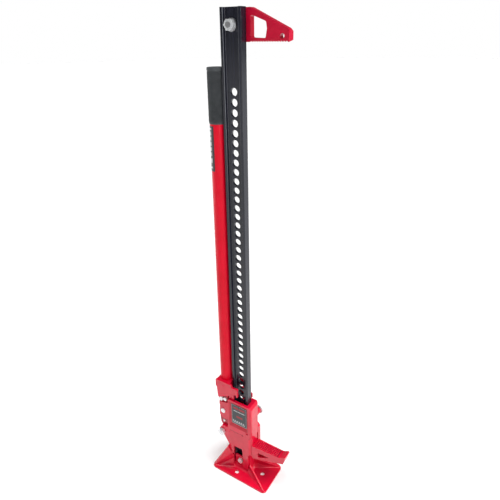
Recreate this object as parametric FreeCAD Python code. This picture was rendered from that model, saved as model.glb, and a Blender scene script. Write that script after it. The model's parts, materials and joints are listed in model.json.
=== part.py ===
"""Farm jack (high-lift jack), 48 inch: a punched rack bar on a ribbed base, a lifting runner that
climbs the bar, a handle in a socket, and a top arm. Millimetres, +Z up. The origin is on the
bar's axis at floor level. +X points along the lifting nose, and the climbing pins are on +Y."""

import FreeCAD, Part
import math
import os

from FreeCAD import Vector

# ---------------------------------------------------------------- driving dimensions
BAR_HEIGHT = 1218.0
BAR_DEPTH = 47.8            # along X, over both flanges
BAR_WIDTH = 18.6            # along Y, across a flange
WEB = 6.0                   # thickness of the web
FLANGE = 6.5                # flange thickness at its tip
BAR_FOOT = 8.0              # the bar stands on the base's floor

PITCH = 20.5                # hole to hole
HOLE_R = 8.0
TOP_HOLE_Z = 1068.6
HOLE_COUNT = 47
RACK_BOLT_Z = 37.0
ARM_BOLT_Z = 1188.0

BASE_X = (-78.5, 102.9)
BASE_HALF_Y = 52.5
BASE_THICK = 5.5
BASE_CORNER_R = 12.0
BASE_HOLE_R = 6.0
BASE_HOLES = [(-2.5, -33.5), (-2.5, 33.5), (65.0, 0.0), (-46.0, 0.0)]

RUNNER_X = (-35.0, 40.0)    # outside of the large runner's box
RUNNER_HALF_Y = 19.6
RUNNER_Z = (145.0, 260.0)
BORE_HALF_X = 24.6          # inside, around the bar
BORE_HALF_Y = 12.0
SKIRT_Y = (12.0, 18.4)      # side plates below the box
EAR_Y = (13.8, 19.6)
LOBE_Y = (8.6, 12.6)        # set back, below the ears
ARM_Y = (8.4, 13.4)         # socket arms between the ears
CHEEK_Y = (20.2, 25.7)

PIVOT = (-52.1, 210.6)      # handle pivot, as (x, z)
PIVOT_R = 5.0
LINK_R = 4.0                # pitman pins
HANDLE_SWING = 90.0         # degrees
LEAN = 0.324                # the stowed handle leans this far towards the bar, in degrees
RUN_FIT = 0.06              # radial clearance of a running fit

PIN_R = 6.35                # climbing pins
TAIL_R = 3.5
LOWER_PIN_Z = TOP_HOLE_Z - 41 * PITCH
UPPER_PIN_Z = TOP_HOLE_Z - 39 * PITCH
PIN_TIP_Y = 3.4             # drawn back, just clear of the web
CROSS_Y = 25.9
SHOULDER_Y = 28.0
TAIL_END_Y = 43.5
BRIDGE_Y = (33.0, 36.5)
WIRE_R = 0.7

LATCH = (28.0, 206.0)       # latch pivot, as (x, z)
FINGER_Y = (20.0, 23.0)
HUB_END_Y = 38.0

TUBE_R = 17.2
TUBE_WALL = 2.5
TUBE_X = -48.7              # tube axis level with the pivot, before the lean
TUBE_Z = (298.0, 1112.0)
GRIP_R = 19.0
GRIP_Z = (1004.0, 1114.0)
STICKER_Z = (904.0, 1000.0)

BOLT_R = 5.0

# ---------------------------------------------------------------- helpers


def box(x, y, z):
    """A block between the low and high value of each pair."""
    size = [high - low for low, high in (x, y, z)]
    return Part.makeBox(*size, Vector(x[0], y[0], z[0]))


def cyl_y(at, y, radius):
    """A cylinder along Y at (x, z)."""
    return Part.makeCylinder(radius, y[1] - y[0], Vector(at[0], y[0], at[1]), Vector(0, 1, 0))


def cyl_x(at, x, radius):
    """A cylinder along X at (y, z)."""
    return Part.makeCylinder(radius, x[1] - x[0], Vector(x[0], at[0], at[1]), Vector(1, 0, 0))


def cyl_z(at, z, radius):
    """A cylinder along Z at (x, y)."""
    return Part.makeCylinder(radius, z[1] - z[0], Vector(at[0], at[1], z[0]), Vector(0, 0, 1))


def rounded_wire(points, radius, place):
    """A closed outline of 2D points whose corners are arcs. A point may carry its own radius as
    a third number. place turns (a, b) into a 3D point."""
    count = len(points)
    edges = []
    starts = []
    ends = []
    for i, point in enumerate(points):
        corner = Vector(point[0], point[1], 0)
        before = Vector(*points[i - 1][:2], 0) - corner
        after = Vector(*points[(i + 1) % count][:2], 0) - corner
        want = point[2] if len(point) > 2 else radius
        half = before.getAngle(after) / 2
        reach = want / math.tan(half)
        to_before = before.normalize()
        to_after = after.normalize()
        start = corner + to_before * reach
        end = corner + to_after * reach
        starts.append(start)
        ends.append(end)
        if want > 0:
            bisector = (to_before + to_after).normalize()
            middle = corner + bisector * (want / math.sin(half) - want)
            arc = Part.Arc(place(start), place(middle), place(end))
            edges.append((i, arc.toShape()))
    outline = []
    for i in range(count):
        outline += [edge for index, edge in edges if index == i]
        here = place(ends[i])
        there = place(starts[(i + 1) % count])
        if here.distanceToPoint(there) > 1e-6:
            outline.append(Part.LineSegment(here, there).toShape())
    return Part.Wire(outline)


def plate_xz(points, y, radius=0.0):
    """A plate standing in the XZ plane, between two values of y."""
    wire = rounded_wire(points, radius, lambda p: Vector(p.x, y[0], p.y))
    return Part.Face(wire).extrude(Vector(0, y[1] - y[0], 0))


def plate_xy(points, z, radius=0.0):
    """A flat plate between two heights."""
    wire = rounded_wire(points, radius, lambda p: Vector(p.x, p.y, z[0]))
    return Part.Face(wire).extrude(Vector(0, 0, z[1] - z[0]))


def rectangle(x, y):
    return [(x[0], y[0]), (x[1], y[0]), (x[1], y[1]), (x[0], y[1])]


def hexagon_y(at, y, across_flats):
    """A hexagonal prism along Y at (x, z), a flat on top."""
    radius = across_flats / math.sqrt(3)
    corners = []
    for i in range(6):
        angle = math.radians(60 * i)
        corners.append((at[0] + radius * math.cos(angle), at[1] + radius * math.sin(angle)))
    return plate_xz(corners, y)


def ring_y(at, y, outer, inner):
    return cyl_y(at, y, outer).cut(cyl_y(at, y, inner))


def both_sides(y):
    """The same span of y on the near and the far side."""
    return ((-y[1], -y[0]), y)


def join(shapes):
    whole = shapes[0].fuse(shapes[1:]) if len(shapes) > 1 else shapes[0]
    return whole.removeSplitter()


def spring_y(at, y, mean_radius, wire_radius, pitch):
    """A coil spring along Y at (x, z). The wire is drawn with eight sides."""
    height = y[1] - y[0] - 2 * wire_radius
    helix = Part.makeHelix(pitch, height, mean_radius)
    corners = []
    for i in range(8):
        angle = math.radians(45 * i)
        across = mean_radius + wire_radius * math.cos(angle)
        corners.append(Vector(across, 0, wire_radius * math.sin(angle)))
    profile = Part.makePolygon(corners + corners[:1])
    coil = Part.Wire(helix.Edges).makePipeShell([profile], True, True)
    coil.rotate(Vector(0, 0, 0), Vector(1, 0, 0), -90)
    coil.translate(Vector(at[0], y[0] + wire_radius, at[1]))
    return coil


def lean(shape):
    """Tips a handle part about the pivot to where it rests against the bar."""
    return shape.rotated(Vector(PIVOT[0], 0, PIVOT[1]), Vector(0, 1, 0), LEAN)


# ---------------------------------------------------------------- rack


def rack_bar():
    half_x = BAR_DEPTH / 2
    half_y = BAR_WIDTH / 2
    tip = half_x - FLANGE
    root = tip - 2.0
    quarter = [(half_x, half_y, 1.2), (tip, half_y, 1.2), (root, WEB / 2, 2.5)]
    left_top = [(-x, y, r) for x, y, r in reversed(quarter)]
    left_bottom = [(-x, -y, r) for x, y, r in quarter]
    right_bottom = [(x, -y, r) for x, y, r in reversed(quarter)]
    section = quarter + left_top + left_bottom + right_bottom
    bar = plate_xy(section, (BAR_FOOT, BAR_HEIGHT))
    cuts = []
    for i in range(HOLE_COUNT):
        cuts.append(cyl_y((0, TOP_HOLE_Z - i * PITCH), (-WEB, WEB), HOLE_R))
    for z in (RACK_BOLT_Z, ARM_BOLT_Z):
        cuts.append(cyl_y((0, z), (-WEB, WEB), BOLT_R + 0.4))
    return bar.cut(cuts)


def base_rib(corner, inner, top, peak, flare_height):
    """An upright rib from a corner of the base towards the bar. top is its height at the tower,
    peak is (distance from the tower, height) of its highest point, and its foot flares out."""
    start = Vector(inner[0], inner[1], 0)
    run = Vector(corner[0], corner[1], 0) - start
    length = run.Length
    floor = BASE_THICK - 1.0
    outline = [(0, floor), (length, floor), (length, BASE_THICK + 1.5), peak, (0, top)]
    along = run.normalize()
    side = Vector(-along.y, along.x, 0)
    wires = []
    for offset in (-2.5, 2.5):
        place = [start + along * s + side * offset + Vector(0, 0, z) for s, z in outline]
        wires.append(Part.makePolygon(place + [place[0]]))
    rib = Part.makeLoft(wires, True, True)
    flare = []
    for s, spread, height in ((0, 10.0, flare_height), (length - 4, 4.0, 1.0)):
        at = start + along * s
        low = at + Vector(0, 0, floor)
        high = at + Vector(0, 0, BASE_THICK + height)
        left = low + side * spread
        right = low - side * spread
        flare.append(Part.makePolygon([left, right, high, left]))
    return rib.fuse(Part.makeLoft(flare, True, True))


def base_plate():
    plate = plate_xy(rectangle(BASE_X, (-BASE_HALF_Y, BASE_HALF_Y)), (0, BASE_THICK), BASE_CORNER_R)
    parts = [plate]
    lug = [(-18.3, 3), (9.8, 3), (9.8, 38), (7.5, 52, 2), (-18.3, 52, 2)]
    for y in both_sides((BAR_WIDTH / 2 + 0.4, 15.0)):
        parts.append(plate_xz(lug, y))
    parts.append(box((-30, -24.2), (-11.5, 11.5), (3, 50)))
    parts.append(box((24.2, 30), (-11.7, 11.7), (3, 74)))
    parts.append(box((-30, 30), (-14, 14), (3, BAR_FOOT)))
    for side in (-1, 1):
        rear = (BASE_X[0] + 5.0, side * (BASE_HALF_Y - 5.0))
        front = (BASE_X[1] - 5.0, side * (BASE_HALF_Y - 5.0))
        parts.append(base_rib(rear, (-25.0, side * 13.5), 44.0, (17.0, 80.0), 36.0))
        parts.append(base_rib(front, (29.5, side * 13.0), 36.0, (4.0, 35.0), 16.0))
    base = join(parts)
    cuts = [cyl_z((x, y), (-1, BASE_THICK + 4), BASE_HOLE_R) for x, y in BASE_HOLES]
    cuts.append(cyl_y((0, RACK_BOLT_Z), (-20, 20), BOLT_R + 0.4))
    return base.cut(cuts)


def base_bolt():
    at = (0, RACK_BOLT_Z)
    shank = cyl_y(at, (-15, 24), BOLT_R)
    return join([shank, hexagon_y(at, (-21, -15), 14.0)])


def base_nut():
    at = (0, RACK_BOLT_Z)
    return hexagon_y(at, (15, 22), 16.0).cut(cyl_y(at, (14, 23), BOLT_R))


# ---------------------------------------------------------------- top arm

ARM_PLATE_Y = (9.5, 22.5)
ARM_TIP_X = 114.0           # on the near side; the tip slants away from there
ARM_TIP_SLANT = 2.0
ARM_EDGE_SLOPE = 13.0       # degrees, so that the teeth bite on the near side
ARM_BOTTOM_Z = 1158.5
TOOTH = 5.4
TOOTH_COUNT = 15
ARM_HOLE = (99.8, 1168.5)
ARM_HOLE_R = 4.6
TOOTH_DEPTH = 2.8
TOP_WASHER_NEAR_Y = (-7.5, -3.0)
TOP_WASHER_FAR_Y = (22.5, 24.5)
TOP_NUT_Y = (-16.5, -7.5)


def top_arm():
    teeth = []
    for i in range(TOOTH_COUNT):
        x = ARM_TIP_X - 2.0 - i * TOOTH
        teeth.append((x, ARM_BOTTOM_Z))
        teeth.append((x - TOOTH / 2, ARM_BOTTOM_Z + TOOTH_DEPTH))
    last_x = ARM_TIP_X - 2.0 - TOOTH_COUNT * TOOTH
    far_tip = ARM_TIP_X + ARM_TIP_SLANT
    outline = [(-21, 1217, 3), (33.0, 1217, 6), (111.5, 1181.0, 5), (far_tip, 1176.0, 3)]
    outline += [(far_tip, ARM_BOTTOM_Z)]
    outline += teeth
    outline += [(last_x, ARM_BOTTOM_Z), (-21, ARM_BOTTOM_Z, 3)]
    plate = plate_xz(outline, ARM_PLATE_Y)
    window = [(33, 1205, 3), (66, 1193, 3), (68, 1181, 6), (65, 1164.8, 3), (33, 1166.2, 3)]
    key = box((-13, 13), (WEB / 2 + 0.2, ARM_PLATE_Y[0]), (1166, 1208))
    arm = join([plate, key])
    slant = [(ARM_TIP_X, ARM_PLATE_Y[0]), (far_tip + 1, ARM_PLATE_Y[0]), (far_tip + 1, ARM_PLATE_Y[1])]
    slant += [(far_tip, ARM_PLATE_Y[1])]
    cuts = [plate_xz(window, (8, 24)), plate_xy(slant, (ARM_BOTTOM_Z - 1, 1200))]
    below = box((-30, 130), (ARM_PLATE_Y[0], 40), (ARM_BOTTOM_Z - 20, ARM_BOTTOM_Z))
    below.rotate(Vector(0, ARM_PLATE_Y[0], ARM_BOTTOM_Z), Vector(1, 0, 0), ARM_EDGE_SLOPE)
    cuts.append(below)
    cuts.append(cyl_y(ARM_HOLE, (8, 24), ARM_HOLE_R))
    cuts.append(cyl_y((0, ARM_BOLT_Z), (0, 24), BOLT_R + 0.4))
    return arm.cut(cuts)


def top_bolt():
    at = (0, ARM_BOLT_Z)
    seat = TOP_WASHER_FAR_Y[1]
    shank = cyl_y(at, (TOP_NUT_Y[0] - 2, seat), BOLT_R)
    return join([shank, hexagon_y(at, (seat, seat + 6.5), 17.0)])


def top_washers():
    """A thick washer in the near channel and a plain one on the arm."""
    at = (0, ARM_BOLT_Z)
    near = ring_y(at, TOP_WASHER_NEAR_Y, 11.8, BOLT_R + 0.3)
    far = ring_y(at, TOP_WASHER_FAR_Y, 11.8, BOLT_R + 0.3)
    return Part.makeCompound([near, far])


def top_nut():
    at = (0, ARM_BOLT_Z)
    return hexagon_y(at, TOP_NUT_Y, 19.0).cut(cyl_y(at, (TOP_NUT_Y[0] - 1, -4), BOLT_R))


# ---------------------------------------------------------------- large runner

NOSE_ROOT_X = 38.0
NOSE_TIP_X = 144.5
NOSE_GROOVE = [(NOSE_ROOT_X, 118.8), (40.6, 118.8)]         # keeps a load clear of the wall
NOSE_PAD = [(41.2, 119.65), (126.0, 123.6, 8)]
NOSE_LIP = [(141.5, 132.8, 1), (NOSE_TIP_X, 131.5, 1.5)]
NOSE_UNDER = [(138.0, 105.4, 3), (101.0, 91.0, 20), (60.0, 78.0, 10), (NOSE_ROOT_X, 70.0)]
NOSE_WINDOW = [(58.0, 103.0, 2), (97.0, 105.0, 1.5), (60.0, 85.5, 2)]

SKIRT = [
    (28.0, 152.0), (-35.0, 152.0), (-52.0, 138.0, 8), (-71.5, 134.5, 6), (-66.0, 117.0, 7),
    (-54.0, 114.0, 4), (-38.0, 86.5, 3), (-27.0, 53.0, 2), (-21.5, 57.0, 2), (-21.5, 86.0, 2),
    (7.0, 88.0, 2), (10.8, 40.0, 5), (10.8, 16.0, 5), (27.6, 16.0, 7),
]
EAR = [
    (-33.0, 246.0), (-45.0, 243.0, 8), (-63.0, 238.0, 6), (-65.0, 191.0, 4), (-57.0, 181.5, 5),
    (-45.0, 181.5, 4), (-33.0, 184.0),
]
LOBE = [
    (-33.0, 187.0), (-57.0, 187.0, 3), (-69.0, 182.0, 5), (-66.5, 155.0, 8), (-61.0, 146.0, 3),
    (-33.0, 146.0),
]
HEEL = [(-33.0, 150.5), (-61.0, 150.5, 3), (-60.0, 143.0, 4), (-50.0, 136.0, 4), (-33.0, 136.0)]
FLANK = [(-34.0, 258.0), (-36.0, 258.0), (-39.5, 147.0), (-34.0, 147.0)]      # the box widens downwards
TIE = (-59.5, 126.0)
EAR_RIVET = (-55.5, 164.0)
STRIP = [(8.6, 150.0), (10.8, 16.0, 5), (27.6, 16.0, 7), (29.6, 150.0)]
LABEL_X = (-26.0, 24.0)
LABEL_Z = (176.3, 247.3)
RECESS_RIM = ((-33.2, 28.5), (164.5, 255.0))       # as (x, z), on the near face
RECESS_FLOOR = ((-27.2, 25.2), (174.5, 249.0))
RECESS_DEPTH = 3.8          # less than the near wall beside the rear slot
SEAM_X = (-33.0, 13.5)      # a groove along the foot of the box
SEAM_Z = (144.6, 146.8)
SEAM_DEPTH = 3.2
NOTCH = (26.5, 160.0)
NOTCH_R = 3.0
SLOT_Z = 238.0              # below this the large runner's box is closed all round
FAR_WALL_Y = 15.5           # the far wall is thinner beside the climbing pins


def nose():
    side = plate_xz(NOSE_GROOVE + NOSE_PAD + NOSE_LIP + NOSE_UNDER, (-17, 17))
    near = [(20, -12), (RUNNER_X[1], -12), (RUNNER_X[1], -16.2), (50, -16.2), (NOSE_TIP_X + 1, -13)]
    plan = near + [(x, -y) for x, y in reversed(near)]
    body = side.common(plate_xy(plan, (60, 140)))
    return body.cut(plate_xz(NOSE_WINDOW, (-20, 20)))


def pin_bridge(z, foot_y):
    """The bracket that the tail of a climbing pin slides in, with the spring behind it."""
    post = box((-18, -12), (foot_y - 1.0, BRIDGE_Y[1]), (z - 7.1, z + 7.1))
    plate = box((-18, 6), BRIDGE_Y, (z - 7.1, z + 7.1))
    hole = cyl_y((0, z), (BRIDGE_Y[0] - 1, BRIDGE_Y[1] + 1), TAIL_R + RUN_FIT)
    return join([post, plate]).cut(hole)


def runner_box():
    near = [(RUNNER_X[0], -RUNNER_HALF_Y), (RUNNER_X[1], -RUNNER_HALF_Y, 5)]
    block = plate_xy(near + [(x, -y, *r) for x, y, *r in reversed(near)], RUNNER_Z)
    near = [(BORE_HALF_X - 1, -RUNNER_HALF_Y), (30, -RUNNER_HALF_Y), (RUNNER_X[1], -12)]
    lower = plate_xy(near + [(x, -y) for x, y in reversed(near)], (78, RUNNER_Z[0] + 1))
    rib = plate_xz([(25, 100), (40, 96), (40, 160), (33, 168), (25, 168)], (RUNNER_HALF_Y - 1, 30.0))
    corner = plate_xz([(40.1, 252), (40.1, 261), (34, 261)], (-30, 30))
    return join([block, lower, rib]).cut(corner)


def label_recess():
    """The pocket for the label, with sloping walls."""
    wires = []
    for (x, z), depth, radius in ((RECESS_RIM, 0.0, 4.0), (RECESS_FLOOR, RECESS_DEPTH, 2.5)):
        wire = rounded_wire(rectangle(x, z), radius, lambda p: Vector(p.x, 0, p.y))
        wires.append(wire.translated(Vector(0, depth - RUNNER_HALF_Y, 0)))
    return Part.makeLoft(wires, True, True)


def large_runner():
    parts = [runner_box(), nose()]
    for y in both_sides(SKIRT_Y):
        parts.append(plate_xz(SKIRT, y))
    for y in both_sides((SKIRT_Y[0], RUNNER_HALF_Y)):
        parts.append(plate_xz(STRIP, y))
    for y in both_sides(EAR_Y):
        parts.append(plate_xz(EAR, y))
        parts.append(plate_xz(FLANK, y))
    for y in both_sides(LOBE_Y):
        parts.append(plate_xz(LOBE, y))
    parts.append(plate_xz(HEEL, (-RUNNER_HALF_Y, RUNNER_HALF_Y)))
    body = join(parts)
    span = (-60, 60)
    bore = box((-BORE_HALF_X, BORE_HALF_X), (-BORE_HALF_Y, BORE_HALF_Y), (10, 270))
    rear_slot = box((-36, -17), (-15.2, 15.9), (SLOT_Z, 261))
    far_slot = box((-36, 14), (9, 20), (SLOT_Z, 261))
    far_face = box((-30, 15.0), (FAR_WALL_Y, 20), (205, 261))
    near_face = (-RUNNER_HALF_Y - 1, -RUNNER_HALF_Y + SEAM_DEPTH)
    seam = box(SEAM_X, near_face, SEAM_Z)
    notch = cyl_y(NOTCH, near_face, NOTCH_R)
    cuts = [bore, rear_slot, far_slot, far_face, label_recess(), seam, notch]
    cuts.append(cyl_y(PIVOT, span, PIVOT_R))
    cuts.append(cyl_y(EAR_RIVET, span, 2.3))
    cuts.append(cyl_y(TIE, span, BOLT_R + 0.2))
    cuts.append(cyl_y((0, LOWER_PIN_Z), (5, 30), PIN_R + RUN_FIT))
    cuts.append(cyl_y(LATCH, (BORE_HALF_Y, 30), BOLT_R))
    body = body.cut(cuts)
    return join([body, pin_bridge(LOWER_PIN_Z, FAR_WALL_Y)])


def label_plate():
    y = (-RUNNER_HALF_Y + RECESS_DEPTH - 0.8, -RUNNER_HALF_Y + RECESS_DEPTH)
    return plate_xz(rectangle(LABEL_X, LABEL_Z), y, 2.0)


def pivot_pin():
    face = EAR_Y[1]
    shank = cyl_y(PIVOT, (-face, face + 3.2), PIVOT_R)
    head = cyl_y(PIVOT, (-face - 2.8, -face), 7.2)
    groove = ring_y(PIVOT, (face + 0.2, face + 1.6), 6, 4.2)
    return join([shank, head]).cut(groove)


def pivot_clip():
    face = EAR_Y[1]
    ring = ring_y(PIVOT, (face + 0.3, face + 1.5), 8.0, 4.3)
    gap = box((PIVOT[0] - 3, PIVOT[0] + 3), (face, face + 3), (PIVOT[1] + 2, PIVOT[1] + 10))
    return ring.cut(gap)


def ear_rivets():
    """Two short rivets, one in each lobe below the ears."""
    rivets = []
    for low, high in both_sides(LOBE_Y):
        head_y = (low - 1.2, low) if low < 0 else (high, high + 1.2)
        rivets.append(join([cyl_y(EAR_RIVET, (low, high), 2.3), cyl_y(EAR_RIVET, head_y, 3.4)]))
    return Part.makeCompound(rivets)


def tie_bolt():
    shank = cyl_y(TIE, (-28, SKIRT_Y[1]), BOLT_R)
    return join([shank, hexagon_y(TIE, (SKIRT_Y[1], SKIRT_Y[1] + 6.5), 17.0)])


def tie_nut():
    y = (-SKIRT_Y[1] - 8, -SKIRT_Y[1])
    return hexagon_y(TIE, y, 19.0).cut(cyl_y(TIE, (y[0] - 1, y[1] + 1), BOLT_R))


def tie_spacer():
    return ring_y(TIE, (-SKIRT_Y[0], SKIRT_Y[0]), 8.0, BOLT_R + 0.2)


def latch_bolt():
    shank = cyl_y(LATCH, (BORE_HALF_Y + 0.3, HUB_END_Y + 1.5), BOLT_R)
    flange = cyl_y(LATCH, (HUB_END_Y + 1.2, HUB_END_Y + 3.0), 13.5)
    head = hexagon_y(LATCH, (HUB_END_Y + 3.0, HUB_END_Y + 6.0), 14.0)
    return join([shank, flange, head])


def latch_washer():
    """The sprung washer that holds the latch where it is put."""
    return ring_y(LATCH, (HUB_END_Y + 0.1, HUB_END_Y + 1.1), 10.0, BOLT_R + 0.2)


# ---------------------------------------------------------------- climbing pins


def climbing_pin(z):
    at = (0, z)
    point = Part.makeCone(PIN_R - 1.5, PIN_R, 1.5, Vector(0, PIN_TIP_Y, z), Vector(0, 1, 0))
    shank = cyl_y(at, (PIN_TIP_Y + 1.5, SHOULDER_Y), PIN_R)
    tail = cyl_y(at, (SHOULDER_Y, TAIL_END_Y - 3), TAIL_R)
    end = Part.makeCone(TAIL_R, TAIL_R - 1.6, 3, Vector(0, TAIL_END_Y - 3, z), Vector(0, 1, 0))
    return join([point, shank, tail, end]).cut(cyl_x((CROSS_Y, z), (-10, 12), 1.75))


def cross_pin(z):
    return cyl_x((CROSS_Y, z), (-10, 12), 1.75)


def pin_spring(z):
    return spring_y((0, z), (SHOULDER_Y + 0.1, BRIDGE_Y[0] - 0.1), 5.2, WIRE_R, 1.6)


# ---------------------------------------------------------------- small runner and pitman

SMALL_Z = (259.6, 292.0)
LINK_ARM = PITCH / (2 * math.sin(math.radians(HANDLE_SWING / 2)))
LINK_LOW = (
    PIVOT[0] - LINK_ARM * math.cos(math.radians(45)),
    PIVOT[1] + LINK_ARM * math.sin(math.radians(45)),
)
LINK_HIGH = (LINK_LOW[0], UPPER_PIN_Z)
CLEVIS_Y = (4.4, 8.0)
PITMAN_HALF_Y = 4.0
LINK_SWAY = LINK_ARM * (1 - math.cos(math.radians(45)))


def small_runner():
    back = box((-34, -24.4), (-14.8, FAR_WALL_Y), SMALL_Z)
    far_arm = box((-34, 9.5), (BAR_WIDTH / 2 + 0.4, FAR_WALL_Y), SMALL_Z)
    near_lip = box((-34, -19), (-14.8, -BAR_WIDTH / 2 - 0.4), SMALL_Z)
    parts = [back, far_arm, near_lip]
    x, z = LINK_HIGH
    ear = [(-33.0, z + 8), (x - 7, z + 8, 7), (x - 7, z - 7, 7), (-33.0, z - 7)]
    for y in both_sides(CLEVIS_Y):
        parts.append(plate_xz(ear, y))
    body = join(parts)
    pin_hole = cyl_y((0, UPPER_PIN_Z), (5, 30), PIN_R + RUN_FIT)
    body = body.cut([pin_hole, cyl_y(LINK_HIGH, (-9, 9), LINK_R)])
    return join([body, pin_bridge(UPPER_PIN_Z, FAR_WALL_Y)])


def pitman():
    """The link hangs from the socket and pulls the small runner. Its upper eye is a slot, because
    the lower eye swings on an arc."""
    y = (-PITMAN_HALF_Y, PITMAN_HALF_Y)
    low_eye = cyl_y(LINK_LOW, y, 7.0)
    shank = box((LINK_LOW[0] - 4.5, LINK_LOW[0] + 4.5), y, (LINK_LOW[1], LINK_HIGH[1]))
    x, z = LINK_HIGH
    slot_r = LINK_R + 0.6
    eye = plate_xz(rectangle((x - 8, x + LINK_SWAY + 8), (z - 8, z + 8)), y, 7.9)
    reach = (x - slot_r - 0.2, x + LINK_SWAY + slot_r + 0.2)
    slot = plate_xz(rectangle(reach, (z - slot_r, z + slot_r)), (-9, 9), slot_r - 0.05)
    link = join([low_eye, shank, eye])
    return link.cut([cyl_y(LINK_LOW, (-9, 9), LINK_R + RUN_FIT), slot])


def pitman_upper_pin():
    return cyl_y(LINK_HIGH, (-CLEVIS_Y[1], CLEVIS_Y[1]), LINK_R)


def pitman_lower_pin():
    return cyl_y(LINK_LOW, (-ARM_Y[1], ARM_Y[1]), LINK_R)


# ---------------------------------------------------------------- reversing latch


def reversing_latch():
    finger = [
        (7.4, 222, 1), (7.4, 276, 2), (20.0, 276, 4), (20.0, 262, 4), (14.5, 256, 3),
        (16.5, 226, 4), (38.0, 213, 6), (28.0, 196), (18.0, 208, 4),
    ]
    arm = plate_xz(finger, FINGER_Y)
    hub = cyl_y(LATCH, (FINGER_Y[0], HUB_END_Y), 9.5)
    bore = cyl_y(LATCH, (FINGER_Y[0] - 1, HUB_END_Y + 1), BOLT_R + RUN_FIT)
    return join([arm, hub]).cut(bore)


# ---------------------------------------------------------------- handle

CHEEK = [
    (-70.0, 300.0, 2), (-70.0, 322.0, 2), (-20.0, 322.0, 1), (-17.0, 313.0, 2), (1.0, 315.0, 2),
    (0.5, 287.0, 1), (-3.0, 287.0, 1), (-4.5, 294.5, 2), (-19.0, 289.0, 3), (-33.0, 277.0, 4),
    (-46.0, 271.0, 5), (-63.5, 258.5, 4), (-67.0, 296.0, 2),
]
SOCKET_ARM = [
    (-69.8, 222.0, 7), (-67.0, 262.0, 20), (-66.0, 300.0), (-38.0, 300.0), (-38.5, 262.0, 20),
    (-43.0, 214.0, 8), (-52.0, 201.0, 8), (-64.0, 210.0, 6),
]
BLOCK_X = (-68.0, -27.5)
BLOCK_Z = (296.0, 322.0)
RIVET = (-47.5, 305.0)
ARM_SCREWS = [(-60.5, 251.0, 14.0), (-46.0, 254.0, 10.0)]      # x, z, across flats


def handle_socket():
    parts = [box(BLOCK_X, (-CHEEK_Y[0] - 1, CHEEK_Y[0] + 1), BLOCK_Z)]
    for y in both_sides(CHEEK_Y):
        parts.append(plate_xz(CHEEK, y))
    for y in both_sides(ARM_Y):
        parts.append(plate_xz(SOCKET_ARM, y))
    body = join(parts)
    cuts = [cyl_z((TUBE_X, 0), (TUBE_Z[0], BLOCK_Z[1] + 1), TUBE_R)]
    cuts.append(cyl_z((TUBE_X, 0), (BLOCK_Z[0] - 1, TUBE_Z[0] + 1), TUBE_R - 4))
    cuts.append(cyl_y(PIVOT, (-30, 30), PIVOT_R + RUN_FIT))
    cuts.append(cyl_y(RIVET, (-30, 30), 4.0))
    for x, z, _ in ARM_SCREWS:
        cuts.append(cyl_y((x, z), (-16, 16), 3.0))
    return lean(body.cut(cuts)).cut(cyl_y(LINK_LOW, (-30, 30), LINK_R))


def handle_tube():
    outer = cyl_z((TUBE_X, 0), TUBE_Z, TUBE_R)
    inner = cyl_z((TUBE_X, 0), (TUBE_Z[0] - 1, TUBE_Z[1] + 1), TUBE_R - TUBE_WALL)
    return lean(outer.cut([inner, cyl_y(RIVET, (-30, 30), 4.0)]))


def handle_grip():
    sleeve = cyl_z((TUBE_X, 0), GRIP_Z, GRIP_R)
    return lean(sleeve.cut(cyl_z((TUBE_X, 0), (GRIP_Z[0] - 1, TUBE_Z[1]), TUBE_R)))


def tube_rivet():
    return lean(cyl_y(RIVET, (-CHEEK_Y[1] - 0.6, CHEEK_Y[1] + 0.6), 4.0))


def arm_screws():
    """Two short hexagon screws in each arm of the socket."""
    screws = []
    for x, z, across in ARM_SCREWS:
        for low, high in both_sides(ARM_Y):
            head_y = (low - 6.2, low) if low < 0 else (high, high + 6.2)
            screw = [cyl_y((x, z), (low, high), 3.0), hexagon_y((x, z), head_y, across)]
            screws.append(lean(join(screw)))
    return Part.makeCompound(screws)


def handle_sticker():
    """A thin wrap on the tube's rear near side, below the grip."""
    at = (TUBE_X, 0)
    skin = cyl_z(at, STICKER_Z, TUBE_R + 0.3).cut(cyl_z(at, STICKER_Z, TUBE_R))
    wedge = [(TUBE_X, 0), (TUBE_X - 40, -8), (TUBE_X - 40, -40), (TUBE_X + 1.2, -40)]
    return lean(skin.common(plate_xy(wedge, STICKER_Z)))


# ---------------------------------------------------------------- export

NODES = {
    "rack_bar": rack_bar,
    "base_plate": base_plate,
    "base_bolt": base_bolt,
    "base_nut": base_nut,
    "top_arm": top_arm,
    "top_bolt": top_bolt,
    "top_washers": top_washers,
    "top_nut": top_nut,
    "large_runner": large_runner,
    "label_plate": label_plate,
    "handle_pivot_pin": pivot_pin,
    "pivot_pin_clip": pivot_clip,
    "ear_rivets": ear_rivets,
    "tie_bolt": tie_bolt,
    "tie_nut": tie_nut,
    "tie_spacer": tie_spacer,
    "latch_bolt": latch_bolt,
    "latch_spring_washer": latch_washer,
    "reversing_latch": reversing_latch,
    "small_runner": small_runner,
    "pitman": pitman,
    "pitman_upper_pin": pitman_upper_pin,
    "pitman_lower_pin": pitman_lower_pin,
    "handle_socket": handle_socket,
    "handle_tube": handle_tube,
    "handle_grip": handle_grip,
    "handle_sticker": handle_sticker,
    "tube_rivet": tube_rivet,
    "arm_screws": arm_screws,
}
for name, z in (("lower", LOWER_PIN_Z), ("upper", UPPER_PIN_Z)):
    NODES[name + "_climbing_pin"] = lambda z=z: climbing_pin(z)
    NODES[name + "_cross_pin"] = lambda z=z: cross_pin(z)
    NODES[name + "_pin_spring"] = lambda z=z: pin_spring(z)

os.makedirs("parts", exist_ok=True)
for node, make in NODES.items():
    shape = make()
    solids = shape.Solids
    print(f"{node}: {len(solids)} solids, {shape.Volume / 1000:.1f} cm3, valid {shape.isValid()}")
    shape.exportStep(f"parts/{node}.step")
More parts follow.
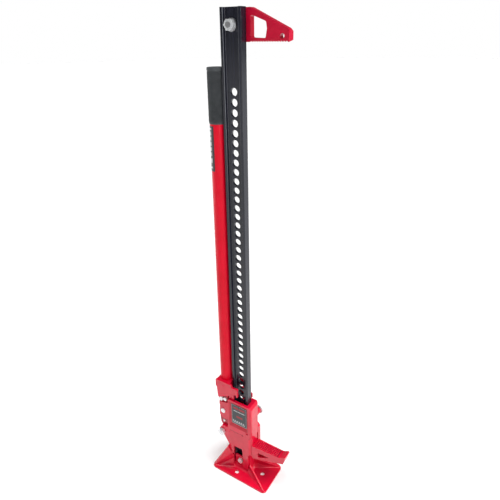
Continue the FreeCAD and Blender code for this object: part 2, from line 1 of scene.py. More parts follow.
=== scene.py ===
"""Looks of the farm jack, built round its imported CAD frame. Metres, +Z up, the bar along Z, the
lifting nose along +X, the near side along -Y."""

import json
import math

import bmesh
import bpy
from mathutils import Matrix, Vector

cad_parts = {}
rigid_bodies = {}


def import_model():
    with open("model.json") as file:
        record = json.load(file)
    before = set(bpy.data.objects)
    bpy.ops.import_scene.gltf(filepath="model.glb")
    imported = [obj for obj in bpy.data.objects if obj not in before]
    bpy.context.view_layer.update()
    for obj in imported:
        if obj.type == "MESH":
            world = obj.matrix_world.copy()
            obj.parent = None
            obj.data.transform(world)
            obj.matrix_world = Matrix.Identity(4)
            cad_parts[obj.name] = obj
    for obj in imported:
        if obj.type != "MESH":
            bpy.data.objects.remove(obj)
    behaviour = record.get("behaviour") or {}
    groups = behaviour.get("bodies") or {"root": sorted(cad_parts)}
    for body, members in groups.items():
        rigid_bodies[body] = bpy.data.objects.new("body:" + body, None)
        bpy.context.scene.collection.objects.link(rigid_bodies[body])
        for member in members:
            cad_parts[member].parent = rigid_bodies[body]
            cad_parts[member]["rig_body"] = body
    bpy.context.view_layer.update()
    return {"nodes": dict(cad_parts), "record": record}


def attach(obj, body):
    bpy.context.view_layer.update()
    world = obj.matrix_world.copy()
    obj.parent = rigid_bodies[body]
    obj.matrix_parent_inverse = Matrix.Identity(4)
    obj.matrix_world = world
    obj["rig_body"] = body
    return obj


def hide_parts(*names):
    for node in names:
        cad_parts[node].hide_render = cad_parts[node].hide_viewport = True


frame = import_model()
NODES = frame["nodes"]

# ---------------------------------------------------------------- camera and studio

CAMERA_AT = (0.52608, -0.78018, 1.17158)
CAMERA_AZIMUTH = math.radians(32.37)
CAMERA_PITCH = math.radians(25.67)
CAMERA_ROLL = math.radians(-0.724)
CAMERA_LENS = 32.307

KEY_FROM = (0.06, -0.14, 0.99)
KEY_STRENGTH = 2.3
KEY_ANGLE = math.radians(40)
FILL_FROM = (0.83, 0.22, 0.51)
FILL_STRENGTH = 2.0
FILL_ANGLE = math.radians(50)
AMBIENT = 0.08


def add_camera():
    forward = Vector((
        -math.sin(CAMERA_AZIMUTH) * math.cos(CAMERA_PITCH),
        math.cos(CAMERA_AZIMUTH) * math.cos(CAMERA_PITCH),
        -math.sin(CAMERA_PITCH),
    ))
    level = Vector((math.cos(CAMERA_AZIMUTH), math.sin(CAMERA_AZIMUTH), 0))
    upright = level.cross(forward)
    right = math.cos(CAMERA_ROLL) * level + math.sin(CAMERA_ROLL) * upright
    up = math.cos(CAMERA_ROLL) * upright - math.sin(CAMERA_ROLL) * level
    turn = Matrix((right, up, -forward)).transposed()
    data = bpy.data.cameras.new("camera")
    data.lens = CAMERA_LENS
    data.sensor_width = 36
    data.clip_start = 0.01
    camera = bpy.data.objects.new("camera", data)
    camera.matrix_world = Matrix.Translation(CAMERA_AT) @ turn.to_4x4()
    bpy.context.scene.collection.objects.link(camera)
    bpy.context.scene.camera = camera


def place_light(data, at, aim):
    light = bpy.data.objects.new(data.name, data)
    light.location = at
    light.rotation_euler = (Vector(aim) - Vector(at)).to_track_quat("-Z", "Y").to_euler()
    light.visible_camera = False
    bpy.context.scene.collection.objects.link(light)


def add_far_light(name, direction, strength, angle):
    """A soft light from far away, so that it is even over the whole floor."""
    data = bpy.data.lights.new(name, "SUN")
    data.energy = strength
    data.angle = angle
    place_light(data, direction, (0, 0, 0))


def add_softbox(name, at, aim, size, power):
    data = bpy.data.lights.new(name, "AREA")
    data.shape = "RECTANGLE"
    data.size, data.size_y = size
    data.energy = power
    place_light(data, at, aim)


def add_world():
    """White where it is seen, and dim as a light, so that up-facing paint keeps its colour."""
    world = bpy.data.worlds.new("studio")
    world.use_nodes = True
    tree = world.node_tree
    tree.nodes.clear()
    seen = tree.nodes.new("ShaderNodeBackground")
    seen.inputs["Color"].default_value = (1, 1, 1, 1)
    seen.inputs["Strength"].default_value = 1.0
    ambient = tree.nodes.new("ShaderNodeBackground")
    ambient.inputs["Color"].default_value = (1, 1, 1, 1)
    ambient.inputs["Strength"].default_value = AMBIENT
    path = tree.nodes.new("ShaderNodeLightPath")
    mix = tree.nodes.new("ShaderNodeMixShader")
    out = tree.nodes.new("ShaderNodeOutputWorld")
    tree.links.new(path.outputs["Is Camera Ray"], mix.inputs[0])
    tree.links.new(ambient.outputs[0], mix.inputs[1])
    tree.links.new(seen.outputs[0], mix.inputs[2])
    tree.links.new(mix.outputs[0], out.inputs["Surface"])
    bpy.context.scene.world = world


def add_studio():
    add_world()
    add_far_light("key", KEY_FROM, KEY_STRENGTH, KEY_ANGLE)
    add_far_light("fill", FILL_FROM, FILL_STRENGTH, FILL_ANGLE)
    add_softbox("left_softbox", (-1.6, -0.2, 1.0), (0, 0, 0.6), (0.4, 1.8), 8)
    add_softbox("edge_softbox", (1.3, -0.9, 1.3), (0, 0, 0.9), (0.12, 1.6), 8)
    floor_mesh = bpy.data.meshes.new("floor")
    shape = bmesh.new()
    bmesh.ops.create_circle(shape, cap_ends=True, segments=96, radius=25)
    shape.to_mesh(floor_mesh)
    shape.free()
    floor = bpy.data.objects.new("floor", floor_mesh)
    floor.location = (0, 0, -0.0002)
    bpy.context.scene.collection.objects.link(floor)
    floor_mesh.materials.append(floor_paper())


# ---------------------------------------------------------------- materials


class Nodes:
    """A material's node tree, with short calls for the nodes that are used here."""

    def __init__(self, name):
        self.material = bpy.data.materials.new(name)
        self.material.use_nodes = True
        self.tree = self.material.node_tree
        self.shader = self.tree.nodes["Principled BSDF"]
        self.place = self.tree.nodes.new("ShaderNodeTexCoord").outputs["Object"]

    def link(self, output, node_input):
        self.tree.links.new(output, node_input)

    def fixed(self, **values):
        for name, value in values.items():
            self.shader.inputs[name.replace("_", " ")].default_value = value

    def stretched(self, scale):
        node = self.tree.nodes.new("ShaderNodeMapping")
        node.inputs["Scale"].default_value = scale
        self.link(self.place, node.inputs["Vector"])
        return node.outputs["Vector"]

    def noise(self, scale, detail=2.0, rough=0.5, place=None):
        node = self.tree.nodes.new("ShaderNodeTexNoise")
        node.inputs["Scale"].default_value = scale
        node.inputs["Detail"].default_value = detail
        node.inputs["Roughness"].default_value = rough
        self.link(place or self.place, node.inputs["Vector"])
        return node.outputs["Fac"]

    def span(self, value, low, high, start=0.3, end=0.7):
        """Maps a value between start and end to low and high."""
        node = self.tree.nodes.new("ShaderNodeMapRange")
        node.inputs["From Min"].default_value = start
        node.inputs["From Max"].default_value = end
        node.inputs["To Min"].default_value = low
        node.inputs["To Max"].default_value = high
        self.link(value, node.inputs["Value"])
        return node.outputs["Result"]

    def ramp(self, value, *stops):
        node = self.tree.nodes.new("ShaderNodeValToRGB")
        stops_in = node.color_ramp.elements
        while len(stops_in) < len(stops):
            stops_in.new(0.5)
        for element, (at, colour) in zip(stops_in, stops):
            element.position = at
            element.color = (*colour, 1)
        self.link(value, node.inputs["Fac"])
        return node.outputs["Color"]

    def axes(self):
        node = self.tree.nodes.new("ShaderNodeSeparateXYZ")
        self.link(self.place, node.inputs["Vector"])
        return node.outputs["X"], node.outputs["Y"], node.outputs["Z"]

    def size_of(self, value):
        node = self.tree.nodes.new("ShaderNodeMath")
        node.operation = "ABSOLUTE"
        self.link(value, node.inputs[0])
        return node.outputs["Value"]

    def both(self, first, second):
        node = self.tree.nodes.new("ShaderNodeMath")
        node.operation = "MULTIPLY"
        self.link(first, node.inputs[0])
        self.link(second, node.inputs[1])
        return node.outputs["Value"]

    def inside(self, value, low, high, soft):
        """1 between low and high, and 0 outside, with soft edges."""
        rise = self.span(value, 0.0, 1.0, low - soft, low + soft)
        return self.both(rise, self.span(value, 1.0, 0.0, high - soft, high + soft))

    def blend(self, share, colour, other):
        node = self.tree.nodes.new("ShaderNodeMixRGB")
        self.link(share, node.inputs["Fac"])
        self.link(colour, node.inputs["Color1"])
        node.inputs["Color2"].default_value = (*other, 1)
        return node.outputs["Color"]

    def bump(self, height, strength, distance, before=None):
        node = self.tree.nodes.new("ShaderNodeBump")
        node.inputs["Strength"].default_value = strength
        node.inputs["Distance"].default_value = distance
        self.link(height, node.inputs["Height"])
        if before is not None:
            self.link(before, node.inputs["Normal"])
        return node.outputs["Normal"]

    def to(self, **outputs):
        for name, output in outputs.items():
            self.link(output, self.shader.inputs[name.replace("_", " ")])


def floor_paper():
    n = Nodes("studio_floor")
    n.fixed(Roughness=0.9, Specular_IOR_Level=0.1)
    shade = n.ramp(n.noise(3.0), (0.3, (0.965, 0.965, 0.965)), (0.7, (0.975, 0.975, 0.975)))
    n.to(Base_Color=shade)
    return n.material


# Each patch of painted shade: low and high x, y and z, how soft its border is, and its colour.
RUNNER_PAINTED_SHADE = (
    # painted shade between the studs of the tread
    ((0.0445, 0.1220), (-0.0134, 0.0134), (0.1195, 0.1250), 0.0003, (0.16, 0.0, 0.012)),
    # painted shade in the label's recess
    ((-0.0337, 0.0290), (-0.0194, -0.0160), (0.1640, 0.2555), 0.0003, (0.42, 0.0, 0.012)),
    # painted shadow in the seam under the box
    ((-0.0334, 0.0139), (-0.0194, -0.0160), (0.1442, 0.1472), 0.0003, (0.10, 0.0, 0.008)),
    # painted shade on the set-back lobes
    ((-0.0720, -0.0395), (-0.0130, 0.0130), (0.1515, 0.1860), 0.0003, (0.34, 0.0, 0.016)),
)
# Painted shade in the base's troughs, where the ribs, the runner and the nose shade them.
BASE_PAINTED_SHADE = (
    # painted shade in the rear trough, under the rib and the runner
    ((-0.0620, -0.0240), (-0.0440, -0.0180), (-0.0500, 0.0220), 0.0090, (0.34, 0.0, 0.018)),
    # painted shadow under the nose
    ((0.0380, 0.0840), (-0.0260, 0.0260), (-0.0500, 0.0220), 0.0090, (0.36, 0.0, 0.018)),
)


def red_paint(name, deep=(0.60, 0.0, 0.024), bright=(0.72, 0.0, 0.034), gloss=(0.28, 0.5), painted_shade=()):
    """Gloss powder coat: slight colour drift, orange peel and a few duller patches, and painted
    shade in some recesses, seams and corners. gloss is the strength of the paint's sheen and of its
    coat."""
    n = Nodes(name)
    n.fixed(Specular_IOR_Level=gloss[0], Coat_Weight=gloss[1], Coat_Roughness=0.12)
    colour = n.ramp(n.noise(22.0, 4.0, 0.6), (0.35, deep), (0.65, bright))
    # Darkens each listed patch towards its colour: painted shade in recesses and seams, and under
    # overhangs.
    for *spans, softness, shade_colour in painted_shade:
        share = None
        for value, (low, high) in zip(n.axes(), spans):
            within = n.inside(value, low, high, softness)
            share = n.both(share, within) if share else within
        colour = n.blend(n.span(share, 0.0, 0.75, 0.0, 1.0), colour, shade_colour)
    n.to(Base_Color=colour)
    n.to(Roughness=n.span(n.noise(60.0, 3.0), 0.30, 0.44))
    peel = n.bump(n.noise(900.0, 2.0), 0.25, 0.0004)
    n.to(Normal=n.bump(n.noise(180.0, 2.0), 0.20, 0.0010, peel))
    return n.material


def black_coat():
    """Satin coat over a rolled bar, with faint rolling streaks along its length. Near the top
    the inner edges of the flanges carry a pale painted highlight."""
    n = Nodes("black_coat")
    n.fixed(Specular_IOR_Level=0.5)
    streaks = n.noise(1.0, 3.0, 0.6, n.stretched((260.0, 260.0, 3.0)))
    colour = n.ramp(streaks, (0.35, (0.006, 0.007, 0.014)), (0.65, (0.012, 0.013, 0.025)))
    x, y, z = n.axes()
    along_edge = n.inside(n.size_of(x), 0.0171, 0.0178, 0.0002)
    on_face = n.span(n.size_of(y), 0.0, 1.0, 0.0080, 0.0088)
    # painted highlight along the flanges' inner edges, strongest near the top
    edge_highlight = n.both(n.both(along_edge, on_face), n.span(z, 0.05, 0.8, 0.75, 1.05))
    n.to(Base_Color=n.blend(edge_highlight, colour, (0.24, 0.25, 0.27)))
    n.to(Roughness=n.span(streaks, 0.18, 0.28))
    n.to(Normal=n.bump(streaks, 0.25, 0.0005))
    return n.material


def zinc():
    n = Nodes("bright_zinc")
    n.fixed(Metallic=0.65)
    spangle = n.noise(420.0, 3.0)
    n.to(Base_Color=n.ramp(spangle, (0.3, (0.68, 0.70, 0.72)), (0.7, (0.90, 0.91, 0.92))))
    n.to(Roughness=n.span(spangle, 0.26, 0.42))
    n.to(Normal=n.bump(n.noise(1500.0), 0.15, 0.0002))
    return n.material


def oiled_steel():
    n = Nodes("oiled_steel")
    n.fixed(Metallic=1.0)
    grind = n.noise(1.0, 4.0, 0.6, n.stretched((900.0, 120.0, 900.0)))
    n.to(Base_Color=n.ramp(grind, (0.3, (0.30, 0.30, 0.31)), (0.7, (0.50, 0.50, 0.51))))
    n.to(Roughness=n.span(grind, 0.28, 0.45))
    n.to(Normal=n.bump(grind, 0.25, 0.0002))
    return n.material


def grip_rubber():
    n = Nodes("grip_rubber")
    n.fixed(Specular_IOR_Level=0.4)
    dust = n.noise(90.0, 5.0, 0.7)
    n.to(Base_Color=n.ramp(dust, (0.35, (0.042, 0.047, 0.051)), (0.65, (0.070, 0.076, 0.082))))
    n.to(Roughness=n.span(dust, 0.55, 0.72))
    n.to(Normal=n.bump(n.noise(2200.0, 3.0), 0.3, 0.0003))
    return n.material


def print_film(name, dark, light, rough=(0.35, 0.5)):
    n = Nodes(name)
    n.fixed(Specular_IOR_Level=0.5)
    mottle = n.noise(250.0, 4.0, 0.6)
    n.to(Base_Color=n.ramp(mottle, (0.35, dark), (0.65, light)))
    n.to(Roughness=n.span(mottle, *rough))
    n.to(Normal=n.bump(n.noise(1800.0), 0.12, 0.0002))
    return n.material


RED = red_paint("red_paint")
RUNNER_RED = red_paint("runner_red", painted_shade=RUNNER_PAINTED_SHADE)
BASE_RED = red_paint("base_red", painted_shade=BASE_PAINTED_SHADE)
ARM_RED = red_paint("arm_red", (0.50, 0.0, 0.024), (0.58, 0.0, 0.032))
TUBE_RED = red_paint("tube_red", (0.68, 0.0, 0.016), (0.76, 0.0, 0.022), (0.14, 0.08))
BLACK = black_coat()
ZINC = zinc()
STEEL = oiled_steel()
RUBBER = grip_rubber()
LABEL = print_film("label_ground", (0.026, 0.031, 0.035), (0.042, 0.048, 0.053))
STICKER = print_film("sticker_ground", (0.012, 0.012, 0.013), (0.022, 0.022, 0.024))
PRINT_RED = print_film("print_red", (0.30, 0.012, 0.018), (0.42, 0.020, 0.026))
PRINT_WHITE = print_film("print_white", (0.50, 0.51, 0.52), (0.66, 0.67, 0.68))

FINISHES = {
    "red_paint": RED,
    "black_paint": BLACK,
    "zinc_plate": ZINC,
    "pin_steel": STEEL,
    "grip_rubber": RUBBER,
    "label": LABEL,
    "sticker": STICKER,
}

OWN_FINISHES = {
    "large_runner": RUNNER_RED,
    "handle_tube": TUBE_RED,
    "top_arm": ARM_RED,
    "top_bolt": STEEL,
    "top_washers": STEEL,
}

SLOT_OF = {part["node"]: part["material_slot"] for part in frame["record"]["subparts"]}


def dress_cad_nodes():
    for name, node in NODES.items():
        finish = OWN_FINISHES.get(name, FINISHES[SLOT_OF[name]])
        if not node.material_slots:
            node.data.materials.append(finish)
        for material_slot in node.material_slots:
            material_slot.material = finish


# ---------------------------------------------------------------- building pieces

MM = 0.001
LEAN = math.radians(0.324)  # the stowed handle's tilt about its pivot
PIVOT = Vector((-0.0521, 0, 0.2106))
TUBE_AXIS_X = -0.0487


def add_piece(name, shape, body, material, smooth=True):
    """Turns a bmesh in millimetres into a piece that rides on a body."""
    bmesh.ops.scale(shape, vec=(MM, MM, MM), verts=shape.verts)
    mesh = bpy.data.meshes.new(name)
    shape.to_mesh(mesh)
    shape.free()
    return place_mesh(name, mesh, body, material, smooth)


def place_mesh(name, mesh, body, material, smooth=True):
    mesh.materials.clear()
    mesh.materials.append(material)
    for polygon in mesh.polygons:
        polygon.use_smooth = smooth
    piece = bpy.data.objects.new(name, mesh)
    bpy.context.scene.collection.objects.link(piece)
    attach(piece, body)
    return piece


def lean(shape):
    """Tips a shape drawn upright, in millimetres, to where the stowed handle stands."""
    about = PIVOT / MM
    bmesh.ops.rotate(shape, cent=about, matrix=Matrix.Rotation(LEAN, 3, "Y"), verts=shape.verts)


def add_slab(shape, corners, low, high):
    """A flat block over four corners: low and high turn a corner into its two end points."""
    bottom = [shape.verts.new(low(corner)) for corner in corners]
    top = [shape.verts.new(high(corner)) for corner in corners]
    shape.faces.new(list(reversed(bottom)))
    shape.faces.new(top)
    count = len(corners)
    for i in range(count):
        j = (i + 1) % count
        shape.faces.new((bottom[i], bottom[j], top[j], top[i]))


# ---------------------------------------------------------------- castings

BASE_HOLES = ((-2.5, -33.5), (-2.5, 33.5), (65.0, 0.0), (-46.0, 0.0))
BASE_RIBS = (((-25.0, 13.5), (-73.5, 47.5)), ((29.5, 13.0), (97.9, 47.5)))
BASE_FLOOR = 5.5
TOWER_HALF = (30.0, 14.0)
TOWER_FILLET = 11.0
RIB_FILLET = 6.0
FILL_STEP = 1.5
FILL_LOW = (-76.0, -50.0)   # x and y of the corners of the filled area
FILL_HIGH = (100.4, 50.0)
FILL_BOTTOM = 2.0
HOLE_CLEARANCE = 8.0
CELL_SIDES = (              # first and last corner of each side of a cell, and the cell beyond it
    ((0, 0), (1, 0), (0, -1)),
    ((1, 0), (1, 1), (1, 0)),
    ((1, 1), (0, 1), (0, 1)),
    ((0, 1), (0, 0), (-1, 0)),
)


def quarter_round(distance, radius):
    """Height of a concave quarter round of that radius, at a distance from the wall."""
    if distance >= radius:
        return 0.0
    gap = radius - max(distance, 0.0)
    return radius - math.sqrt(radius * radius - gap * gap)


def fill_height(x, y):
    """Height of the metal that rounds the troughs of the base, above its floor."""
    tower = math.hypot(max(abs(x) - TOWER_HALF[0], 0), max(abs(y) - TOWER_HALF[1], 0))
    height = quarter_round(tower, TOWER_FILLET)
    for inner, corner in BASE_RIBS:
        run = Vector(corner) - Vector(inner)
        here = Vector((x, abs(y))) - Vector(inner)
        along = max(0.0, min(1.0, here.dot(run) / run.length_squared))
        beside = (here - run * along).length
        height = max(height, quarter_round(beside - 2.0, 2.0 + RIB_FILLET * (1 - along)))
    return height


def filled_cells():
    """The cells of a grid over the base where the fill is thick and no hole is near."""
    columns = int((FILL_HIGH[0] - FILL_LOW[0]) / FILL_STEP)
    rows = int((FILL_HIGH[1] - FILL_LOW[1]) / FILL_STEP)
    cells = set()
    for i in range(columns):
        for j in range(rows):
            middle = Vector((FILL_LOW[0] + (i + 0.5) * FILL_STEP, FILL_LOW[1] + (j + 0.5) * FILL_STEP))
            clear = all((middle - Vector(hole)).length > HOLE_CLEARANCE for hole in BASE_HOLES)
            if clear and fill_height(*middle) > 0.3:
                cells.add((i, j))
    return cells


def add_trough_fill(shape):
    """Adds the fill to the base as a closed shell."""
    cells = filled_cells()
    corners = {}

    def corner(i, j):
        """The top and the bottom point at a corner of the grid."""
        if (i, j) not in corners:
            x = FILL_LOW[0] + i * FILL_STEP
            y = FILL_LOW[1] + j * FILL_STEP
            top = shape.verts.new((x * MM, y * MM, (BASE_FLOOR + fill_height(x, y)) * MM))
            bottom = shape.verts.new((x * MM, y * MM, FILL_BOTTOM * MM))
            corners[i, j] = (top, bottom)
        return corners[i, j]

    for i, j in sorted(cells):
        around = [corner(i + a, j + b) for a, b in ((0, 0), (1, 0), (1, 1), (0, 1))]
        shape.faces.new([pair[0] for pair in around])
        shape.faces.new([pair[1] for pair in reversed(around)])
        for start, end, beyond in CELL_SIDES:
            if (i + beyond[0], j + beyond[1]) not in cells:
                a_top, a_bottom = corner(i + start[0], j + start[1])
                b_top, b_bottom = corner(i + end[0], j + end[1])
                shape.faces.new((a_bottom, b_bottom, b_top, a_top))


def add_casting(name, node, voxel, rounds, material, extra=None):
    """Stands for a CAD node: the same shape with a casting's rounded edges and fillets."""
    shape = bmesh.new()
    shape.from_mesh(NODES[node].data)
    bmesh.ops.remove_doubles(shape, verts=shape.verts, dist=0.000005)
    if extra:
        extra(shape)
    rough = bpy.data.meshes.new(name + "_rough")
    shape.to_mesh(rough)
    shape.free()
    draft = bpy.data.objects.new(name + "_draft", rough)
    bpy.context.scene.collection.objects.link(draft)
    remesh = draft.modifiers.new("remesh", "REMESH")
    remesh.mode = "VOXEL"
    remesh.voxel_size = voxel
    relax = draft.modifiers.new("relax", "SMOOTH")
    relax.factor = 0.5
    relax.iterations = rounds
    graph = bpy.context.evaluated_depsgraph_get()
    mesh = bpy.data.meshes.new_from_object(draft.evaluated_get(graph))
    bpy.data.objects.remove(draft)
    piece = place_mesh(name, mesh, NODES[node]["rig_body"], material)
    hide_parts(node)
    return piece


# ---------------------------------------------------------------- tread on the nose

TREAD_X = (46.0, 120.0)
TREAD_PITCH = 5.4
TREAD_MARGIN = 2.2          # bare rim left beside the rows
TREAD_FOOT = 2.45           # half the width of a pyramid at its foot and at its crown
TREAD_CROWN = 0.9
TREAD_HEIGHT = (2.5, 1.2)   # at the wall and at the tip
PAD_START = (41.2, 119.65)
PAD_SLOPE = 3.95 / 84.8
NOSE_HALF_WIDTH = 16.2      # at NOSE_ROOT_X, and narrower towards the tip
NOSE_ROOT_X = 50.0
NOSE_TAPER = 3.2 / 95.5


def pad_height(x):
    return PAD_START[1] + (x - PAD_START[0]) * PAD_SLOPE


def add_stud(shape, x, y, height):
    """One blunt pyramid, sunk a little into the pad."""

    def corner(c, reach, rise):
        return x + c[0] * reach, y + c[1] * reach, pad_height(x + c[0] * reach) + rise

    add_slab(
        shape, ((-1, -1), (1, -1), (1, 1), (-1, 1)),
        lambda c: corner(c, TREAD_FOOT, -0.4),
        lambda c: corner(c, TREAD_CROWN, height),
    )


def add_tread():
    """Rows of small blunt pyramids cast on the nose, lower towards the tip."""
    shape = bmesh.new()
    columns = int((TREAD_X[1] - TREAD_X[0]) / TREAD_PITCH)
    for i in range(columns + 1):
        x = TREAD_X[0] + i * TREAD_PITCH
        half_width = NOSE_HALF_WIDTH - (x - NOSE_ROOT_X) * NOSE_TAPER
        lines = int((half_width - TREAD_MARGIN) / TREAD_PITCH)
        height = TREAD_HEIGHT[0] + (TREAD_HEIGHT[1] - TREAD_HEIGHT[0]) * i / columns
        for line in range(-lines, lines + 1):
            add_stud(shape, x, line * TREAD_PITCH, height)
    bmesh.ops.bevel(shape, geom=shape.edges, offset=0.25, segments=2, affect="EDGES", profile=0.5)
    add_piece("nose_tread", shape, "large_runner", RED)


# ---------------------------------------------------------------- knurled grip

GRIP_CORE = 18.0            # radius at the bottom of the grooves
KNURL_DEPTH = 0.75
KNURLS_AROUND = 40
KNURL_Z = (1008.0, 1106.0)
KNURL_ROWS = 70
KNURL_STEP = (KNURL_Z[1] - KNURL_Z[0]) / KNURL_ROWS
GRIP_TOP = (                # radius and z from the knurl over the plain band to the rounded end
    (17.9, 1106.3), (17.9, 1107.0), (18.7, 1107.5), (19.0, 1108.3),
    (19.0, 1111.5), (18.7, 1113.0), (17.8, 1113.8), (16.5, 1114.0),
)
GRIP_RIM = (                # radius and z from the knurl down, and turned in round the tube
    (18.3, 1007.0), (18.3, 1005.2), (17.9, 1004.3), (17.25, 1004.0), (17.25, 1010.0),
)


def on_grip(turn, z, radius):
    """A point round the tube's axis, where one turn is the width of one knurl."""
    angle = 2 * math.pi * turn / KNURLS_AROUND
    return Vector((TUBE_AXIS_X / MM + radius * math.cos(angle), radius * math.sin(angle), z))


def groove_crossing(i, j):
    """Turn and z of a crossing of two grooves: odd rows are set half a knurl on."""
    return i + 0.5 * (j % 2), KNURL_Z[0] + j * KNURL_STEP


def add_knurl(shape, ring, middle):
    """One blunt raised diamond over a ring of four groove crossings."""
    turn, z = middle
    rise = 0.6 * KNURL_STEP
    spots = ((turn, z - rise), (turn + 0.3, z), (turn, z + rise), (turn - 0.3, z))
    crown = [shape.verts.new(on_grip(*spot, GRIP_CORE + KNURL_DEPTH)) for spot in spots]
    shape.faces.new(crown)
    for k in range(4):
        m = (k + 1) % 4
        shape.faces.new((ring[k], ring[m], crown[m], crown[k]))


def add_lathed(shape, ring, profile):
    """Carries a ring of points on along a profile, and closes it with a flat end."""
    for radius, z in profile:
        fresh = [shape.verts.new(on_grip(i, z, radius)) for i in range(KNURLS_AROUND)]
        for i in range(KNURLS_AROUND):
            j = (i + 1) % KNURLS_AROUND
            shape.faces.new((ring[i], ring[j], fresh[j], fresh[i]))
        ring = fresh
    shape.faces.new(ring)


def add_grip():
    """A rubber sleeve with a diamond knurl, a plain band at its end and a turned-in rim."""
    shape = bmesh.new()
    crossings = {}

    def crossing(i, j):
        key = (i % KNURLS_AROUND, j)
        if key not in crossings:
            crossings[key] = shape.verts.new(on_grip(*groove_crossing(*key), GRIP_CORE))
        return crossings[key]

    def row(j):
        return [crossing(i, j) for i in range(KNURLS_AROUND)]

    for j in range(KNURL_ROWS - 1):
        for i in range(KNURLS_AROUND):
            side = i if j % 2 else i - 1
            ring = (crossing(i, j), crossing(side + 1, j + 1), crossing(i, j + 2), crossing(side, j + 1))
            turn, z = groove_crossing(i, j)
            add_knurl(shape, ring, (turn, z + KNURL_STEP))
    first, second = row(0), row(1)
    before, last = row(KNURL_ROWS - 1), row(KNURL_ROWS)
    for i in range(KNURLS_AROUND):
        j = (i + 1) % KNURLS_AROUND
        shape.faces.new((first[i], first[j], second[i]))
        shape.faces.new((last[j], last[i], before[i]))
    add_lathed(shape, last, GRIP_TOP)
    add_lathed(shape, first, GRIP_RIM)
    bmesh.ops.recalc_face_normals(shape, faces=shape.faces)
    lean(shape)
    piece = add_piece("knurled_grip", shape, "handle", RUBBER, smooth=False)
    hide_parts("handle_grip")


# ---------------------------------------------------------------- print on the label and the sticker

LABEL_FACE_Y = -16.6
PRINT_THICK = 0.12
LABEL_RED_BARS = (          # low and high x, low and high z
    (-19.5, -4.0, 232.5, 239.5),
    (-1.5, 17.5, 232.5, 239.5),
    (-10.0, 10.0, 203.0, 209.5),
)
LABEL_WHITE_BARS = (
    (-19.0, -6.0, 224.0, 226.6),
    (-4.5, 5.0, 224.0, 226.6),
    (6.5, 17.0, 224.0, 226.6),
)
LABEL_BORDER = ((-24.8, 22.8), (177.6, 246.0), 0.6)     # x, z and width of its line
HATCH_X = (-22.0, 18.0)
HATCH_Z = (181.5, 190.5)
HATCH_PITCH = 6.6


def print_slab(shape, corners):
    add_slab(
        shape, corners,
        lambda c: (c[0], LABEL_FACE_Y + 0.05, c[1]),
        lambda c: (c[0], LABEL_FACE_Y - PRINT_THICK, c[1]),
    )


def bar_corners(low_x, high_x, low_z, high_z):
    return ((low_x, low_z), (high_x, low_z), (high_x, high_z), (low_x, high_z))


def add_label_print():
    """Plain bars, a thin border and a hatched strip on the label."""
    red = bmesh.new()
    for bar in LABEL_RED_BARS:
        print_slab(red, bar_corners(*bar))
    add_piece("label_red_bars", red, "large_runner", PRINT_RED, smooth=False)
    white = bmesh.new()
    for bar in LABEL_WHITE_BARS:
        print_slab(white, bar_corners(*bar))
    (low_x, high_x), (low_z, high_z), width = LABEL_BORDER
    print_slab(white, bar_corners(low_x, high_x, low_z, low_z + width))
    print_slab(white, bar_corners(low_x, high_x, high_z - width, high_z))
    print_slab(white, bar_corners(low_x, low_x + width, low_z + width, high_z - width))
    print_slab(white, bar_corners(high_x - width, high_x, low_z + width, high_z - width))
    count = int((HATCH_X[1] - HATCH_X[0]) / HATCH_PITCH)
    for i in range(count):
        x = HATCH_X[0] + i * HATCH_PITCH
        slant = ((x, HATCH_Z[1]), (x + 2.9, HATCH_Z[1]), (x + 6.0, HATCH_Z[0]), (x + 3.1, HATCH_Z[0]))
        print_slab(white, tuple(reversed(slant)))
    add_piece("label_white_print", white, "large_runner", PRINT_WHITE, smooth=False)


STICKER_R = 17.5
STICKER_MARKS = (           # low and high z, first and last angle in degrees
    (992.0, 996.0, 226, 250),
    (981.0, 989.0, 232, 246),
    (970.0, 978.0, 232, 246),
    (959.0, 967.0, 232, 246),
    (948.0, 956.0, 232, 246),
    (937.0, 945.0, 232, 246),
    (922.0, 932.0, 226, 250),
    (910.0, 914.0, 226, 250),
)


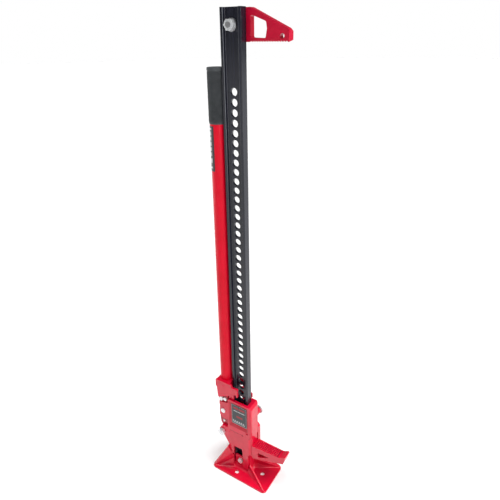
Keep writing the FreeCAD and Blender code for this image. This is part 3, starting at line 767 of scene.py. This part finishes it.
def add_curved_block(shape, low, high, first, last):
    """One closed block bent round the handle tube, from the first to the last angle."""
    steps = max(2, (last - first) // 4)
    outline = (
        (STICKER_R - 0.05, low),
        (STICKER_R - 0.05, high),
        (STICKER_R + PRINT_THICK, high),
        (STICKER_R + PRINT_THICK, low),
    )
    ribs = []
    for step in range(steps + 1):
        angle = math.radians(first + (last - first) * step / steps)
        rib = []
        for radius, z in outline:
            x = TUBE_AXIS_X / MM + radius * math.cos(angle)
            rib.append(shape.verts.new((x, radius * math.sin(angle), z)))
        ribs.append(rib)
    for here, there in zip(ribs, ribs[1:]):
        for i in range(4):
            j = (i + 1) % 4
            shape.faces.new((here[i], here[j], there[j], there[i]))
    shape.faces.new(list(reversed(ribs[0])))
    shape.faces.new(ribs[-1])


def add_sticker_print():
    """Plain blocks down the wrap on the tube."""
    shape = bmesh.new()
    for mark in STICKER_MARKS:
        add_curved_block(shape, *mark)
    bmesh.ops.recalc_face_normals(shape, faces=shape.faces)
    lean(shape)
    add_piece("sticker_blocks", shape, "handle", PRINT_WHITE, smooth=False)


# ---------------------------------------------------------------- softened edges

EDGE_WIDTHS = {
    "rack_bar": 0.0006,
    "top_arm": 0.0004,
    "large_runner": 0.0010,
    "handle_socket": 0.0008,
    "small_runner": 0.0006,
    "reversing_latch": 0.0006,
    "pitman": 0.0006,
    "base_bolt": 0.0005,
    "base_nut": 0.0005,
    "top_bolt": 0.0005,
    "top_nut": 0.0006,
    "top_washers": 0.0003,
    "tie_bolt": 0.0005,
    "tie_nut": 0.0005,
    "arm_screws": 0.0005,
    "latch_bolt": 0.0004,
    "handle_pivot_pin": 0.0005,
    "ear_rivets": 0.0004,
}


def soften_edges():
    for name, width in EDGE_WIDTHS.items():
        node = NODES[name]
        weld = node.modifiers.new("weld", "WELD")
        weld.merge_threshold = 0.000005
        bevel = node.modifiers.new("bevel", "BEVEL")
        bevel.width = width
        bevel.segments = 2
        bevel.limit_method = "ANGLE"
        bevel.angle_limit = math.radians(35)
        bevel.use_clamp_overlap = True
        bevel.harden_normals = False
        for polygon in node.data.polygons:
            polygon.use_smooth = False


# ---------------------------------------------------------------- whole scene

add_studio()
add_camera()
dress_cad_nodes()
soften_edges()
add_casting("cast_base", "base_plate", 0.0009, 2, BASE_RED, add_trough_fill)
add_tread()
add_grip()
add_label_print()
add_sticker_print()
bpy.context.scene.view_settings.view_transform = "Standard"
